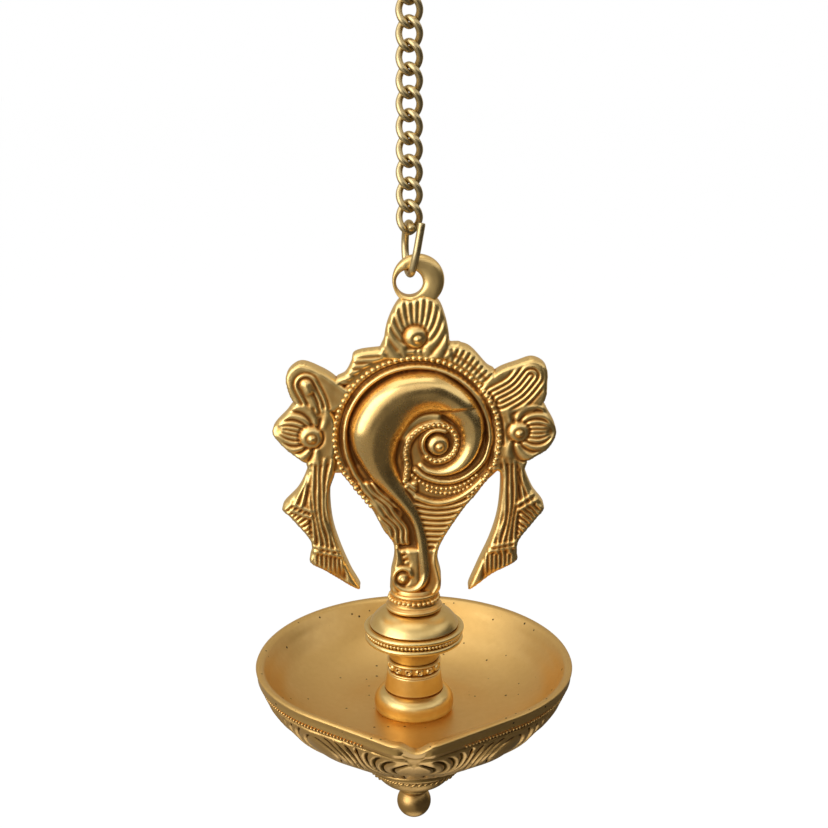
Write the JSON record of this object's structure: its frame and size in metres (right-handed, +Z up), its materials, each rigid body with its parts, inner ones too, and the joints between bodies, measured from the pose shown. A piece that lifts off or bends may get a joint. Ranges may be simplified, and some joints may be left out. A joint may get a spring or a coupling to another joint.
{
  "type": "hanging oil lamp",
  "caption": "Cast brass hanging oil lamp: conch plaque with pleated tassels over a pointed oil bowl on a turned pedestal, hung by a hook, a twisted chain and an open ring.",
  "frame": {"origin": "top of the hook's mouth, where the hook bears on what carries it", "axes": "+Z up along the chain, -Y towards the lamp's front, +X to the lamp's right as seen from the front"},
  "size_m": [0.118, 0.134, 0.3542],
  "materials": {
    "wire_brass": "drawn wire, pale and slightly dull",
    "cast_brass": "cast and burnished, brown patina in the recesses",
    "turned_brass": "turned and polished, dark in the grooves",
    "bowl_brass": "satin inside with small pits, carved and darkened outside",
    "stud_brass": "plain threaded rod"
  },
  "bodies": {
    "hook": {"top_hook": "wire_brass"},
    "link_01": {"chain_link_01": "wire_brass"},
    "link_02": {"chain_link_02": "wire_brass"},
    "link_03": {"chain_link_03": "wire_brass"},
    "link_04": {"chain_link_04": "wire_brass"},
    "link_05": {"chain_link_05": "wire_brass"},
    "link_06": {"chain_link_06": "wire_brass"},
    "link_07": {"chain_link_07": "wire_brass"},
    "link_08": {"chain_link_08": "wire_brass"},
    "link_09": {"chain_link_09": "wire_brass"},
    "link_10": {"chain_link_10": "wire_brass"},
    "link_11": {"chain_link_11": "wire_brass"},
    "link_12": {"chain_link_12": "wire_brass"},
    "ring": {"hanger_ring": "wire_brass"},
    "lamp": {"conch_plaque": "cast_brass", "pedestal": "turned_brass", "bowl": "bowl_brass", "foot_collar": "turned_brass", "ball_finial": "turned_brass", "tie_stud": "stud_brass"}
  },
  "joints": [
    {"name": "link_01_swing", "type": "hinge", "parent": "hook", "child": "link_01", "pos_m": [0, 0, -0.0306], "axis": [0.7071, 0.7071, 0], "range_deg": [-12, 12]},
    {"name": "link_02_swing", "type": "hinge", "parent": "link_01", "child": "link_02", "pos_m": [0, 0, -0.03538], "axis": [0.7071, -0.7071, 0], "range_deg": [-12, 12]},
    {"name": "link_03_swing", "type": "hinge", "parent": "link_02", "child": "link_03", "pos_m": [0, 0, -0.0458], "axis": [0.7071, 0.7071, 0], "range_deg": [-12, 12]},
    {"name": "link_04_swing", "type": "hinge", "parent": "link_03", "child": "link_04", "pos_m": [0, 0, -0.05098], "axis": [0.7071, -0.7071, 0], "range_deg": [-12, 12]},
    {"name": "link_05_swing", "type": "hinge", "parent": "link_04", "child": "link_05", "pos_m": [0, 0, -0.0614], "axis": [0.7071, 0.7071, 0], "range_deg": [-12, 12]},
    {"name": "link_06_swing", "type": "hinge", "parent": "link_05", "child": "link_06", "pos_m": [0, 0, -0.06658], "axis": [0.7071, -0.7071, 0], "range_deg": [-12, 12]},
    {"name": "link_07_swing", "type": "hinge", "parent": "link_06", "child": "link_07", "pos_m": [0, 0, -0.077], "axis": [0.7071, 0.7071, 0], "range_deg": [-12, 12]},
    {"name": "link_08_swing", "type": "hinge", "parent": "link_07", "child": "link_08", "pos_m": [0, 0, -0.08218], "axis": [0.7071, -0.7071, 0], "range_deg": [-12, 12]},
    {"name": "link_09_swing", "type": "hinge", "parent": "link_08", "child": "link_09", "pos_m": [0, 0, -0.0926], "axis": [0.7071, 0.7071, 0], "range_deg": [-12, 12]},
    {"name": "link_10_swing", "type": "hinge", "parent": "link_09", "child": "link_10", "pos_m": [0, 0, -0.09778], "axis": [0.7071, -0.7071, 0], "range_deg": [-12, 12]},
    {"name": "link_11_swing", "type": "hinge", "parent": "link_10", "child": "link_11", "pos_m": [0, 0, -0.1082], "axis": [0.7071, 0.7071, 0], "range_deg": [-12, 12]},
    {"name": "link_12_swing", "type": "hinge", "parent": "link_11", "child": "link_12", "pos_m": [0, 0, -0.11338], "axis": [0.7071, -0.7071, 0], "range_deg": [-12, 12]},
    {"name": "ring_swing", "type": "hinge", "parent": "link_12", "child": "ring", "pos_m": [0, 0, -0.1238], "axis": [0.7071, 0.7071, 0], "range_deg": [-8, 8]},
    {"name": "lamp_swing", "type": "hinge", "parent": "ring", "child": "lamp", "pos_m": [0, 0, -0.13859], "axis": [0.2079, -0.9781, 0], "range_deg": [-30, 30]}
  ]
}
